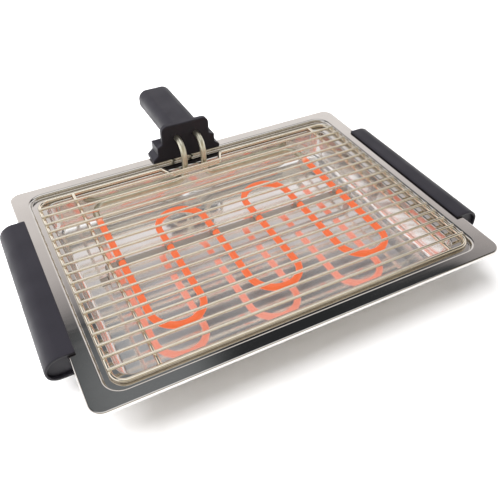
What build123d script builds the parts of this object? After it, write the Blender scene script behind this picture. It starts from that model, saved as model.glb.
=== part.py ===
from build123d import *

import os

# Table-top electric grill: a pressed stainless tray with a wide rim, a welded wire grate,
# and a lift-out heating unit whose moulded head hooks over the middle of the back rim.
# Millimetres, +Z up. The origin is on the table, under the middle of the whole object,
# with the grip pointing along +Y.

# ---------------------------------------------------------------- driving sizes
# Tray
rim_length = 470.0
rim_width = 360.0
rim_corner_radius = 14.0
rim_border_side = 21.0
rim_border_end = 17.0
sheet = 0.8
lip_depth = 4.0
lip_radius = 1.5
pan_depth = 44.7
recess_depth = 5.0
recess_corner_radius = 17.0
mouth_radius = 3.0
recess_floor_radius = 1.2
ledge_width = 16.0
ledge_edge_radius = 2.4
well_corner_radius = 16.0
well_draft = 4.0
well_floor_radius = 10.0
cutting_margin = 20.0

# Feet
foot_height = 16.0
foot_diameter = 30.0
foot_base_diameter = 24.0
foot_inset_x = 53.0
foot_inset_y = 52.0
foot_edge_radius = 2.0
stud_diameter = 5.0
stud_end_height = 2.0
washer_diameter = 10.0
washer_thickness = 1.0
nut_across_flats = 8.0
nut_height = 4.0
nut_pocket_diameter = 12.0
nut_pocket_depth = 8.0

# Side handles
handle_length = 222.0
handle_offset_y = 1.6
handle_stagger = 4.9
handle_wall = 3.0
handle_overlap = 7.5
handle_reach = 25.0
handle_drop = 28.0
handle_return = 26.0
handle_corner_radius = 2.0
handle_flat = 7.0
handle_web_inset = 4.0
handle_web_gap = 1.2
bracket_width = 16.0
bracket_thickness = 1.5
bracket_inset = 36.0
bracket_inboard = 16.0
bracket_outboard = 14.5
bracket_step_start = 6.0
bracket_step_end = 2.5
bracket_gap_under_lip = 1.0
handle_screw_diameter = 4.0
handle_screw_head_diameter = 7.6
handle_screw_head_height = 2.2
handle_boss_diameter = 9.0
handle_screw_outboard = 10.0
handle_screw_grip = 3.8

# Grate
frame_wire = 4.6
bar_wire = 3.4
frame_gap_side = 3.35
grate_shift_x = 2.65
frame_gap_front = 6.7
frame_gap_back = 9.7
grate_corner_radius = 14.0
bar_count = 18
bar_overhang = 2.0
bar_end_chamfer = 0.4
weld_depth = 0.06
support_inset = 35.6
support_shift_x = 8.6
support_weld_depth = 0.2
notch_clearance = 1.7
notch_side_clearance = 24.5
notch_slope = 9.0
notch_radius = 5.0

# Heating element
tube_diameter = 8.0
tube_wall = 0.7
core_gap = 0.05
coil_diameter = 3.0
leg_count = 6
element_side_gap = 50.5
element_front_gap = 48.0
element_back_gap = 56.5
loops_offset_x = 4.0
element_depth = 21.0
lead_spacing = 27.0
lead_height = 31.0
lead_drop_setback = 23.5
lead_top_radius = 18.0
lead_bottom_radius = 15.0
side_run_radius = 20.0
cold_run = 7.5
tube_end_inset = 8.0
seal_length = 4.0
pin_reach = 30.0

# Element support, set in front of the place where the legs' back bends start
support_strip_width = 12.0
support_strip_thickness = 1.5
support_strip_setback = 29.5
support_strip_overhang = 18.0
support_strip_toe = 9.0
support_strip_bend = 3.0
clip_thickness = 0.8
clip_width = 8.0
clip_tab = 5.0

# Head
plate_thickness = 6.0
plate_height = 50.0
plate_half_width = 33.5
plate_corner_radius = 9.0
plate_step = 3.5
plate_edge_radius = 1.2
plate_screw_grip = 4.2
saddle_half_width = 48.0
saddle_waist = 41.0
saddle_height = 21.5
saddle_edge_height = 4.0
saddle_slope_top = 10.0
saddle_rear_overhang = 6.0
hook_gap = 0.6
hook_drop = 10.0
hook_half_width = 38.0
saddle_roof = 3.0
saddle_screw_x = 8.0
saddle_boss_diameter = 6.0
saddle_boss_height = 5.0
grip_width = 47.0
grip_height = 26.0
grip_reach = 103.0
grip_wall = 3.0
grip_end_wall = 4.0
grip_top_radius = 12.5
grip_bottom_radius = 7.0
grip_end_radius = 6.5
screw_diameter = 3.0
screw_head_diameter = 5.4
screw_head_height = 1.8
screw_clearance = 0.2
screw_slot_share = 1 / 6
shell_boss_diameter = 7.0
shell_screw_inset = 8.0
shell_screw_front = 54.0
shell_screw_rear = 13.0
shell_counterbore_depth = 4.0
shell_screw_grip = 7.5
mount_plate_thickness = 2.0
mount_plate_clearance = 0.4
mount_screw_x = 9.0
mount_screw_drop = 6.5
block_margin = 5.8
block_depth = 20.0
block_height = 13.0
block_corner_radius = 1.5
block_setback = 22.0
cutout_diameter = 14.0
cutout_length = 6.0
cutout_edge_radius = 0.8
cutout_lead_diameter = 1.6
cutout_lead_x = 4.0
cutout_lead_grip = 5.0
bush_bore = 7.4
bush_diameter = 11.0
bush_flange_diameter = 14.0
bush_flange = 2.0
cord_clamp_setback = 26.0
cord_clamp_length = 30.0
cord_clamp_width = 8.0
cord_clamp_height = 4.5
cord_clamp_corner_radius = 2.0
cord_clamp_screw_x = 10.0
clamp_rise = 1.5
clamp_boss_diameter = 6.0
clamp_screw_grip = 7.0
cord_radius = 3.7

# Clearances
fit_clearance = 0.05

# ---------------------------------------------------------------- worked-out places
opening_length = rim_length - 2 * rim_border_side
opening_width = rim_width - 2 * rim_border_end
well_length = opening_length - 2 * ledge_width
well_width = opening_width - 2 * ledge_width

tray_y = -(grip_reach + bush_flange) / 2
rim_back = tray_y + rim_width / 2
opening_back = tray_y + opening_width / 2

floor_under = foot_height
floor_top = floor_under + sheet
rim_z = floor_top + pan_depth
ledge_z = rim_z - recess_depth

frame_wire_z = ledge_z + frame_wire / 2
bar_z = frame_wire_z + frame_wire / 2 + bar_wire / 2 - weld_depth
frame_half_length = opening_length / 2 - frame_gap_side - frame_wire / 2
frame_left_x = grate_shift_x - frame_half_length
frame_right_x = grate_shift_x + frame_half_length
frame_front_y = tray_y - opening_width / 2 + frame_gap_front + frame_wire / 2
frame_back_y = opening_back - frame_gap_back - frame_wire / 2
support_places = {
    "left": frame_left_x + support_shift_x + support_inset,
    "right": frame_right_x + support_shift_x - support_inset,
}

element_z = rim_z - element_depth
lead_z = rim_z + lead_height
lead_y = opening_back - lead_drop_setback
lead_x = lead_spacing / 2
notch_y = lead_y - tube_diameter / 2 - notch_clearance - frame_wire / 2
notch_half_width = lead_x + tube_diameter / 2 + notch_side_clearance
bar_pitch = (notch_y - frame_front_y) / bar_count
outer_leg_x = well_length / 2 - element_side_gap
leg_pitch = 2 * outer_leg_x / (leg_count - 1)
bend_radius = leg_pitch / 2
front_bend_y = tray_y - well_width / 2 + element_front_gap + bend_radius
back_bend_y = lead_y - element_back_gap - bend_radius
cold_end_y = lead_y - side_run_radius - cold_run
strip_y = back_bend_y - support_strip_setback

plate_back = opening_back + plate_thickness
grip_end = rim_back + grip_reach
grip_bottom = rim_z + saddle_height
grip_top = grip_bottom + grip_height
grip_middle = (grip_bottom + grip_top) / 2
cavity_floor = grip_bottom + grip_wall


def finish(piece, label):
    """Name a finished piece and write it as its own file."""
    piece.part.label = label
    export_step(piece.part, f"parts/{label}.step")


def level(z):
    """A level plane under the middle of the tray."""
    return Plane(origin=(0, tray_y, z))


def upright(y):
    """An upright plane facing the front: X to the right, Z up. A negative extrusion goes back."""
    return Plane.XZ.offset(-y)


def upright_side(x):
    """An upright plane facing the right: Y to the right, Z up. A positive extrusion goes to +X."""
    return Plane.YZ.offset(x)


os.makedirs("parts", exist_ok=True)


# ---------------------------------------------------------------- tray
def tray_space(skin):
    """The space inside the tray, grown by a skin: no skin gives the inner face, a skin of one
    sheet gives the outer face. Rounded edges grow or shrink by the same skin."""
    with BuildPart() as space:
        with BuildSketch(level(rim_z - skin)):
            Rectangle(rim_length + cutting_margin, rim_width + cutting_margin)
        extrude(amount=lip_depth + skin)

        with BuildSketch(level(ledge_z - skin)):
            RectangleRounded(opening_length + 2 * skin, opening_width + 2 * skin, recess_corner_radius + skin)
        extrude(amount=recess_depth)
        recess_floor = space.faces().sort_by(Axis.Z)[0]
        fillet(recess_floor.outer_wire().edges(), recess_floor_radius + skin)
        rim_face = space.faces().filter_by(Plane.XY).sort_by(Axis.Z)[1]
        fillet(rim_face.inner_wires()[0].edges(), mouth_radius - skin)

        with BuildSketch(level(ledge_z - skin)):
            RectangleRounded(well_length + 2 * skin, well_width + 2 * skin, well_corner_radius + skin)
        with BuildSketch(level(floor_top - skin)):
            RectangleRounded(
                well_length - 2 * well_draft + 2 * skin,
                well_width - 2 * well_draft + 2 * skin,
                well_corner_radius + skin,
            )
        loft()
        well_floor = space.faces().sort_by(Axis.Z)[0]
        fillet(well_floor.outer_wire().edges(), well_floor_radius + skin)
        ledge_face = space.faces().filter_by(Plane.XY).sort_by(Axis.Z)[1]
        fillet(ledge_face.inner_wires()[0].edges(), ledge_edge_radius - skin)
    return space.part


def rim_slab(bottom, top, inset, edge_radius):
    """A slab in the rim's outline, drawn in by an inset, with its top edge rounded."""
    with BuildPart() as slab:
        with BuildSketch(level(bottom)):
            RectangleRounded(rim_length - 2 * inset, rim_width - 2 * inset, rim_corner_radius - inset)
        extrude(amount=top - bottom)
        fillet(slab.faces().sort_by(Axis.Z)[-1].edges(), edge_radius)
    return slab.part


lip_outside = rim_slab(rim_z - lip_depth, rim_z, 0, lip_radius)
lip_inside = rim_slab(rim_z - lip_depth, rim_z - sheet, sheet, lip_radius - sheet)
with BuildPart() as rolled_lip:
    add(lip_outside)
    add(lip_inside, mode=Mode.SUBTRACT)

outer_space = tray_space(sheet)
inner_space = tray_space(0)
under_rim_outline = rim_slab(0, rim_z, 0, lip_radius)
with BuildPart() as tray:
    add(outer_space)
    add(under_rim_outline, mode=Mode.INTERSECT)
    add(rolled_lip.part)
    add(inner_space, mode=Mode.SUBTRACT)
finish(tray, "tray")


# ---------------------------------------------------------------- feet
foot_x = well_length / 2 - foot_inset_x
foot_reach_y = well_width / 2 - foot_inset_y
foot_places = {
    "front_left": (-foot_x, tray_y - foot_reach_y),
    "front_right": (foot_x, tray_y - foot_reach_y),
    "rear_left": (-foot_x, tray_y + foot_reach_y),
    "rear_right": (foot_x, tray_y + foot_reach_y),
}

for corner, place in foot_places.items():
    with BuildPart() as foot:
        with BuildSketch(Plane(origin=(*place, 0))):
            Circle(foot_base_diameter / 2)
        with BuildSketch(Plane(origin=(*place, foot_height))):
            Circle(foot_diameter / 2)
        loft()
        fillet(foot.edges().sort_by(Axis.Z)[0], foot_edge_radius)
        with Locations(Plane(origin=(*place, 0), x_dir=(1, 0, 0), z_dir=(0, 0, -1))):
            CounterBoreHole(stud_diameter / 2 + screw_clearance, nut_pocket_diameter / 2, nut_pocket_depth)
    finish(foot, f"foot_{corner}")

with BuildPart() as foot_studs:
    with BuildSketch(Plane.XY.offset(floor_under)):
        with Locations(*foot_places.values()):
            Circle(stud_diameter / 2)
    extrude(amount=-(foot_height - stud_end_height))
finish(foot_studs, "foot_studs")

with BuildPart() as foot_washers:
    with BuildSketch(Plane.XY.offset(nut_pocket_depth)):
        with Locations(*foot_places.values()):
            Circle(washer_diameter / 2)
            Circle(stud_diameter / 2 + screw_clearance, mode=Mode.SUBTRACT)
    extrude(amount=-washer_thickness)
finish(foot_washers, "foot_washers")

with BuildPart() as foot_nuts:
    with BuildSketch(Plane.XY.offset(nut_pocket_depth - washer_thickness)):
        with Locations(*foot_places.values()):
            RegularPolygon(nut_across_flats / 2, 6, major_radius=False)
            Circle(stud_diameter / 2 + fit_clearance, mode=Mode.SUBTRACT)
    extrude(amount=-nut_height)
finish(foot_nuts, "foot_nuts")


# ---------------------------------------------------------------- side handles
rim_side = rim_length / 2
handle_middle_z = rim_z + handle_wall / 2
shoulder_radius = handle_reach - handle_wall / 2 - handle_flat
curl_radius = handle_drop + handle_wall / 2 - shoulder_radius - handle_wall / 2
bracket_top = rim_z - lip_depth - bracket_gap_under_lip
bracket_offset_y = handle_length / 2 - bracket_inset
handle_screw_x = rim_side + handle_screw_outboard


def handle_middle_y(side):
    """The middle of a side handle. The left one sits a little further back than the right one."""
    return tray_y + handle_offset_y - side * handle_stagger


def bracket_spots(side):
    """The two places along a side where a strap carries the handle."""
    middle = handle_middle_y(side)
    return (middle - bracket_offset_y, middle + bracket_offset_y)


def handle_middle_line(start_x):
    """The middle of the handle's wall: flat over the rim, round the shoulder, and curled under."""
    over_rim = Line((start_x, handle_middle_z), (rim_side + handle_flat, handle_middle_z))
    shoulder = JernArc(over_rim @ 1, over_rim % 1, shoulder_radius, -90)
    curl = JernArc(shoulder @ 1, shoulder % 1, curl_radius, -90)
    return over_rim, Line(curl @ 1, (rim_side + handle_reach - handle_return, (curl @ 1).Y))


def side_handle(side, label):
    """A moulded side handle, drawn on the right side and mirrored for the left."""
    handle_y = handle_middle_y(side)
    handle_front = handle_y - handle_length / 2
    screw_places = [(handle_screw_x, y) for y in bracket_spots(side)]
    with BuildPart() as handle:
        with BuildSketch(upright(handle_front)):
            with BuildLine():
                handle_middle_line(rim_side - handle_overlap + handle_wall / 2)
                offset(amount=handle_wall / 2, side=Side.BOTH)
            make_face()
        extrude(amount=-handle_length)

        web_fronts = (
            handle_front + handle_web_inset,
            handle_front + handle_length - handle_web_inset - handle_wall,
        )
        for web_front in web_fronts:
            with BuildSketch(upright(web_front)):
                with BuildLine():
                    over_rim, under = handle_middle_line(rim_side + handle_web_gap)
                    Line(under @ 1, over_rim @ 0)
                make_face()
            extrude(amount=-handle_wall)

        with BuildSketch(Plane.XY.offset(bracket_top)):
            with Locations(*screw_places):
                Circle(handle_boss_diameter / 2)
        extrude(amount=rim_z - bracket_top)
        with BuildSketch(Plane.XY.offset(bracket_top)):
            with Locations(*screw_places):
                Circle(handle_screw_diameter / 2 + fit_clearance)
        extrude(amount=handle_screw_grip + fit_clearance, mode=Mode.SUBTRACT)

        with BuildSketch(Plane.XY) as plan:
            with Locations((rim_side - handle_overlap, handle_y)):
                Rectangle(handle_overlap + handle_reach, handle_length, align=(Align.MIN, Align.CENTER))
            fillet(plan.vertices().group_by(Axis.X)[-1], handle_corner_radius)
        extrude(amount=2 * rim_z, mode=Mode.INTERSECT)
        if side < 0:
            mirror(about=Plane.YZ, mode=Mode.REPLACE)
    finish(handle, label)


def handle_brackets(side, label):
    """Steel straps, spot-welded under the rim and stepped down to pass below its lip."""
    under_rim = rim_z - sheet - bracket_thickness / 2
    under_lip = bracket_top - bracket_thickness / 2
    with BuildPart() as brackets:
        for spot in bracket_spots(side):
            with BuildSketch(upright(spot - bracket_width / 2)):
                with BuildLine():
                    Polyline(
                        (rim_side - bracket_inboard, under_rim),
                        (rim_side - bracket_step_start, under_rim),
                        (rim_side - bracket_step_end, under_lip),
                        (rim_side + bracket_outboard, under_lip),
                    )
                    offset(amount=bracket_thickness / 2, side=Side.BOTH)
                make_face()
            extrude(amount=-bracket_width)
        with BuildSketch(Plane.XY.offset(bracket_top)):
            with Locations(*[(handle_screw_x, y) for y in bracket_spots(side)]):
                Circle(handle_screw_diameter / 2 + screw_clearance)
        extrude(amount=-2 * bracket_thickness, mode=Mode.SUBTRACT)
        if side < 0:
            mirror(about=Plane.YZ, mode=Mode.REPLACE)
    finish(brackets, label)


def screws(plane, places, shank, length, head, head_height, tip=1):
    """A group of slotted screws. Their heads seat on the plane, and their tips point along its
    normal, or against it when tip is -1."""
    with BuildPart() as group:
        with BuildSketch(plane):
            with Locations(*places):
                Circle(shank / 2)
        extrude(amount=tip * length)
        with BuildSketch(plane):
            with Locations(*places):
                Circle(head / 2)
        extrude(amount=-tip * head_height)
        with BuildSketch(plane.offset(-tip * head_height)):
            with Locations(*places):
                Rectangle(head, head * screw_slot_share)
        extrude(amount=tip * head_height / 2, mode=Mode.SUBTRACT)
    return group


side_handle(-1, "side_handle_left")
side_handle(1, "side_handle_right")
handle_brackets(-1, "handle_brackets_left")
handle_brackets(1, "handle_brackets_right")
handle_screws = screws(
    Plane.XY.offset(bracket_top - bracket_thickness),
    [(side * handle_screw_x, y) for side in (-1, 1) for y in bracket_spots(side)],
    handle_screw_diameter,
    bracket_thickness + handle_screw_grip,
    handle_screw_head_diameter,
    handle_screw_head_height,
)
finish(handle_screws, "handle_screws")


# ---------------------------------------------------------------- grate
def rod(path, section):
    """Sweep a section, given as diameter and bore, along the path."""
    diameter, bore = section
    with BuildPart() as swept:
        with BuildSketch(Plane(origin=path.line @ 0, z_dir=path.line % 0)):
            Circle(diameter / 2)
            if bore > 0:
                Circle(bore / 2, mode=Mode.SUBTRACT)
        sweep(path=path.line)
    return swept


with BuildLine() as frame_line:
    notch_inner = notch_half_width - notch_slope
    FilletPolyline(
        (frame_left_x, frame_front_y, frame_wire_z),
        (frame_right_x, frame_front_y, frame_wire_z),
        (frame_right_x, frame_back_y, frame_wire_z),
        (notch_half_width, frame_back_y, frame_wire_z),
        (notch_inner, notch_y, frame_wire_z),
        (-notch_inner, notch_y, frame_wire_z),
        (-notch_half_width, frame_back_y, frame_wire_z),
        (frame_left_x, frame_back_y, frame_wire_z),
        radius=[grate_corner_radius] * 3 + [notch_radius] * 4 + [grate_corner_radius],
        close=True,
    )
grate_frame = rod(frame_line, (frame_wire, 0))
finish(grate_frame, "grate_frame")

for number in range(1, bar_count + 1):
    with BuildPart() as grate_bar:
        with BuildSketch(upright_side(frame_left_x - bar_overhang)):
            with Locations((frame_front_y + number * bar_pitch, bar_z)):
                Circle(bar_wire / 2)
        extrude(amount=2 * (frame_half_length + bar_overhang))
        chamfer(grate_bar.edges().filter_by(GeomType.CIRCLE), bar_end_chamfer)
    finish(grate_bar, f"grate_bar_{number:02d}")

support_end = frame_wire / 2 - support_weld_depth
for side, support_x in support_places.items():
    with BuildPart() as grate_support:
        with BuildSketch(upright(frame_front_y + support_end)):
            with Locations((support_x, frame_wire_z)):
                Circle(frame_wire / 2)
        extrude(amount=-(frame_back_y - frame_front_y - 2 * support_end))
    finish(grate_support, f"grate_support_{side}")


# ---------------------------------------------------------------- heating element
def leg_x(number):
    """The place across the tray of a leg, counted from 0 at the left."""
    return loops_offset_x - outer_leg_x + number * leg_pitch


def lead_route(side, start_y):
    """From the head forwards, down past the rim, out along the back, and into the outer leg."""
    outer = loops_offset_x + side * outer_leg_x
    FilletPolyline(
        (side * lead_x, start_y, lead_z),
        (side * lead_x, lead_y, lead_z),
        (side * lead_x, lead_y, element_z),
        (outer, lead_y, element_z),
        (outer, cold_end_y, element_z),
        radius=[lead_top_radius, lead_bottom_radius, side_run_radius],
    )


def loops_route():
    """The legs and their half-round bends, in one flat snake from the left to the right."""
    for number in range(leg_count):
        x = leg_x(number)
        towards_front = number % 2 == 0
        start_y = back_bend_y if towards_front else front_bend_y
        end_y = front_bend_y if towards_front else back_bend_y
        if number == 0:
            start_y = cold_end_y
        if number == leg_count - 1:
            end_y = cold_end_y
        Line((x, start_y, element_z), (x, end_y, element_z))
        if number < leg_count - 1:
            bulge = -bend_radius if towards_front else bend_radius
            ThreePointArc(
                (x, end_y, element_z),
                (x + bend_radius, end_y + bulge, element_z),
                (x + leg_pitch, end_y, element_z),
            )


tube_end_y = plate_back + tube_end_inset
with BuildLine() as tube_line:
    lead_route(-1, tube_end_y)
    loops_route()
    lead_route(1, tube_end_y)
core_diameter = tube_diameter - 2 * tube_wall - 2 * core_gap
element_sheath = rod(tube_line, (tube_diameter, tube_diameter - 2 * tube_wall))
finish(element_sheath, "element_sheath")
element_insulation = rod(tube_line, (core_diameter, coil_diameter + 2 * core_gap))
finish(element_insulation, "element_insulation")

with BuildLine() as coil_line:
    loops_route()
element_coil = rod(coil_line, (coil_diameter, 0))
finish(element_coil, "element_coil")

for side, word in ((-1, "left"), (1, "right")):
    with BuildLine() as pin_line:
        lead_route(side, plate_back + pin_reach)
    cold_pin = rod(pin_line, (coil_diameter, 0))
    finish(cold_pin, f"cold_pin_{word}")

    with BuildPart() as end_seal:
        with BuildSketch(upright(tube_end_y)):
            with Locations((side * lead_x, lead_z)):
                Circle(tube_diameter / 2)
                Circle(coil_diameter / 2 + fit_clearance, mode=Mode.SUBTRACT)
        extrude(amount=-seal_length)
    finish(end_seal, f"end_seal_{word}")

strip_top = element_z - tube_diameter / 2
strip_reach = outer_leg_x + support_strip_overhang
strip_front = strip_y - support_strip_width / 2
with BuildPart() as element_support:
    with BuildSketch(upright(strip_front)) as strip_section:
        with BuildLine():
            strip_middle = strip_top - support_strip_thickness / 2
            toe_middle = floor_top + support_strip_thickness / 2
            FilletPolyline(
                (loops_offset_x - strip_reach - support_strip_toe, toe_middle),
                (loops_offset_x - strip_reach, toe_middle),
                (loops_offset_x - strip_reach, strip_middle),
                (loops_offset_x + strip_reach, strip_middle),
                (loops_offset_x + strip_reach, toe_middle),
                (loops_offset_x + strip_reach + support_strip_toe, toe_middle),
                radius=support_strip_bend,
            )
            offset(amount=support_strip_thickness / 2, side=Side.BOTH)
        make_face()
    extrude(amount=-support_strip_width)
finish(element_support, "element_support")

with BuildPart() as element_clips:
    clip_bore = tube_diameter / 2 + fit_clearance
    clip_outside = clip_bore + clip_thickness
    clip_tops = [(leg_x(number), element_z) for number in range(leg_count)]
    clip_feet = [(leg_x(number), strip_top) for number in range(leg_count)]
    down = (Align.CENTER, Align.MAX)
    with BuildSketch(upright(strip_y - clip_width / 2)):
        with Locations(*clip_tops):
            Circle(clip_outside)
            Rectangle(2 * clip_outside, tube_diameter / 2, align=down)
        with Locations(*clip_feet):
            Rectangle(2 * (clip_outside + clip_tab), clip_thickness, align=(Align.CENTER, Align.MIN))
            Rectangle(4 * clip_outside, 2 * clip_outside, align=down, mode=Mode.SUBTRACT)
        with Locations(*clip_tops):
            Circle(clip_bore, mode=Mode.SUBTRACT)
            Rectangle(2 * clip_bore, tube_diameter, align=down, mode=Mode.SUBTRACT)
    extrude(amount=-clip_width)
finish(element_clips, "element_clips")


# ---------------------------------------------------------------- head: the moulded front plate
def head_outline(top):
    """The head's stepped outline as seen from the front, up to a height above the rim: wide on
    the rim, sloping in to a waist, and narrow above the saddle."""
    with BuildSketch() as outline:
        with BuildLine() as half:
            Polyline(
                (0, rim_z),
                (saddle_half_width, rim_z),
                (saddle_half_width, rim_z + saddle_edge_height),
                (saddle_waist, rim_z + saddle_slope_top),
                (saddle_waist, rim_z + saddle_height),
                (0, rim_z + saddle_height),
            )
            mirror(half.line, about=Plane.YZ)
        make_face()
        if top > saddle_height:
            with BuildLine() as upper_half:
                Polyline(
                    (0, rim_z + saddle_height),
                    (saddle_waist, rim_z + saddle_height),
                    (plate_half_width, rim_z + saddle_height + plate_step),
                    (plate_half_width, rim_z + top),
                    (0, rim_z + top),
                )
                mirror(upper_half.line, about=Plane.YZ)
            make_face()
            fillet(outline.vertices().group_by(Axis.Y)[-1], plate_corner_radius)
    return outline.sketch


mount_screw_places = [(side * mount_screw_x, grip_top - mount_screw_drop) for side in (-1, 1)]
lead_places = [(side * lead_x, lead_z) for side in (-1, 1)]
saddle_back = rim_back + saddle_rear_overhang
saddle_roof_z = rim_z + saddle_height - saddle_roof
saddle_screw_y = (plate_back + rim_back) / 2
saddle_screw_places = [(side * saddle_screw_x, saddle_screw_y) for side in (-1, 1)]
whole_outline = head_outline(plate_height)
saddle_outline = head_outline(saddle_height)
with BuildPart() as front_plate:
    with BuildSketch(upright(opening_back)):
        add(whole_outline)
    extrude(amount=-plate_thickness)
    fillet(front_plate.faces().sort_by(Axis.Y)[0].edges(), plate_edge_radius)

    # The saddle behind the plate, its hook over the rim, and the pocket under its roof.
    with BuildSketch(upright(plate_back)):
        add(saddle_outline)
    extrude(amount=-(saddle_back - plate_back))
    with BuildSketch(Plane.XY.offset(rim_z)):
        with Locations((0, rim_back + hook_gap)):
            Rectangle(2 * hook_half_width, saddle_rear_overhang - hook_gap, align=(Align.CENTER, Align.MIN))
    extrude(amount=-hook_drop)
    with BuildSketch(Plane.XY.offset(rim_z)):
        with Locations((0, plate_back)):
            Rectangle(
                2 * (saddle_waist - saddle_roof),
                rim_back - plate_back,
                align=(Align.CENTER, Align.MIN),
            )
    extrude(amount=saddle_height - saddle_roof, mode=Mode.SUBTRACT)
    with BuildSketch(Plane.XY.offset(saddle_roof_z)):
        with Locations(*saddle_screw_places):
            Circle(screw_diameter / 2 + screw_clearance)
    extrude(amount=saddle_roof, mode=Mode.SUBTRACT)

    with BuildSketch(upright(opening_back)):
        with Locations(*lead_places):
            Circle(tube_diameter / 2 + screw_clearance)
    extrude(amount=-plate_thickness, mode=Mode.SUBTRACT)
    with BuildSketch(upright(plate_back)):
        with Locations(*mount_screw_places):
            Circle(screw_diameter / 2 + fit_clearance)
    extrude(amount=plate_screw_grip + screw_clearance, mode=Mode.SUBTRACT)
finish(front_plate, "head_front_plate")


# ---------------------------------------------------------------- head: the two grip shells
def grip_section(inset):
    """The grip's section drawn in by an inset: round above, tighter below."""
    with BuildSketch() as section:
        with Locations((0, grip_middle)):
            Rectangle(grip_width - 2 * inset, grip_height - 2 * inset)
        fillet(section.vertices().group_by(Axis.Y)[-1], grip_top_radius - inset)
        fillet(section.vertices().sort_by(Axis.Y)[:2], grip_bottom_radius - inset)
    return section.sketch


grip_outline = grip_section(0)
grip_cavity_outline = grip_section(grip_wall)
with BuildPart() as grip_block:
    with BuildSketch(upright(plate_back)):
        add(grip_outline)
    extrude(amount=-(grip_end - plate_back))
    fillet(grip_block.faces().sort_by(Axis.Y)[-1].edges(), grip_end_radius)

with BuildPart() as hollow_grip:
    add(grip_block.part)
    with BuildSketch(upright(plate_back)):
        add(grip_cavity_outline)
    extrude(amount=-(grip_end - grip_end_wall - plate_back), mode=Mode.SUBTRACT)
    with BuildSketch(upright(grip_end)):
        with Locations((0, grip_middle)):
            Circle(bush_diameter / 2 + fit_clearance)
    extrude(amount=grip_end_wall, mode=Mode.SUBTRACT)

shell_screw_x = grip_width / 2 - shell_screw_inset
shell_screw_places = [
    (side * shell_screw_x, y)
    for side in (-1, 1)
    for y in (plate_back + shell_screw_front, grip_end - shell_screw_rear)
]
with BuildPart() as upper_shell:
    add(hollow_grip.part)
    split(bisect_by=Plane.XY.offset(grip_middle), keep=Keep.TOP)
    with BuildSketch(Plane.XY.offset(grip_middle)):
        with Locations(*shell_screw_places):
            Circle(shell_boss_diameter / 2)
    extrude(amount=grip_height / 2)
    add(grip_block.part, mode=Mode.INTERSECT)
    with BuildSketch(Plane.XY.offset(grip_middle)):
        with Locations(*shell_screw_places):
            Circle(screw_diameter / 2 + fit_clearance)
    extrude(amount=shell_screw_grip + screw_clearance, mode=Mode.SUBTRACT)
finish(upper_shell, "grip_upper_shell")

clamp_y = grip_end - cord_clamp_setback
clamp_screw_places = [(side * cord_clamp_screw_x, clamp_y) for side in (-1, 1)]
clamp_bottom = grip_middle + clamp_rise
screw_seat = grip_bottom + shell_counterbore_depth
with BuildPart() as lower_shell:
    add(hollow_grip.part)
    split(bisect_by=Plane.XY.offset(grip_middle), keep=Keep.BOTTOM)
    with BuildSketch(Plane.XY.offset(cavity_floor)):
        with Locations(*saddle_screw_places):
            Circle(saddle_boss_diameter / 2)
    extrude(amount=saddle_boss_height - grip_wall)
    with BuildSketch(Plane.XY.offset(grip_bottom)):
        with Locations(*saddle_screw_places):
            Circle(screw_diameter / 2 + fit_clearance)
    extrude(amount=plate_screw_grip + screw_clearance, mode=Mode.SUBTRACT)

    with BuildSketch(Plane.XY.offset(cavity_floor - grip_wall / 2)):
        with Locations(*shell_screw_places):
            Circle(shell_boss_diameter / 2)
    extrude(amount=grip_middle - cavity_floor + grip_wall / 2)
    with BuildSketch(Plane.XY.offset(grip_bottom)):
        with Locations(*shell_screw_places):
            Circle(screw_diameter / 2 + screw_clearance)
    extrude(amount=grip_height / 2, mode=Mode.SUBTRACT)
    with BuildSketch(Plane.XY.offset(grip_bottom)):
        with Locations(*shell_screw_places):
            Circle(screw_head_diameter / 2 + screw_clearance)
    extrude(amount=shell_counterbore_depth, mode=Mode.SUBTRACT)

    with BuildSketch(Plane.XY.offset(cavity_floor)):
        with Locations(*clamp_screw_places):
            Circle(clamp_boss_diameter / 2)
    extrude(amount=clamp_bottom - cavity_floor)
    with BuildSketch(Plane.XY.offset(cavity_floor)):
        with Locations((0, clamp_y)):
            Rectangle(2 * cord_clamp_screw_x, cord_clamp_width / 2)
    extrude(amount=grip_middle - cord_radius - cavity_floor)
    with BuildSketch(Plane.XY.offset(clamp_bottom)):
        with Locations(*clamp_screw_places):
            Circle(screw_diameter / 2 + fit_clearance)
    extrude(amount=-clamp_screw_grip - screw_clearance, mode=Mode.SUBTRACT)
finish(lower_shell, "grip_lower_shell")

shell_screws = screws(
    Plane.XY.offset(screw_seat),
    shell_screw_places,
    screw_diameter,
    grip_middle - screw_seat + shell_screw_grip,
    screw_head_diameter,
    screw_head_height,
)
finish(shell_screws, "shell_screws")
saddle_screws = screws(
    Plane.XY.offset(saddle_roof_z),
    saddle_screw_places,
    screw_diameter,
    saddle_roof + plate_screw_grip,
    screw_head_diameter,
    screw_head_height,
)
finish(saddle_screws, "saddle_screws")


# ---------------------------------------------------------------- head: inside the grip
mount_plate_outline = grip_section(grip_wall + mount_plate_clearance)
with BuildPart() as mount_plate:
    with BuildSketch(upright(plate_back)):
        add(mount_plate_outline)
        with Locations(*lead_places):
            Circle(tube_diameter / 2 + fit_clearance, mode=Mode.SUBTRACT)
        with Locations(*mount_screw_places):
            Circle(screw_diameter / 2 + screw_clearance, mode=Mode.SUBTRACT)
    extrude(amount=-mount_plate_thickness)
finish(mount_plate, "element_mount_plate")

mount_screws = screws(
    upright(plate_back + mount_plate_thickness),
    mount_screw_places,
    screw_diameter,
    mount_plate_thickness + plate_screw_grip,
    screw_head_diameter,
    screw_head_height,
)
finish(mount_screws, "mount_plate_screws")

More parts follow.
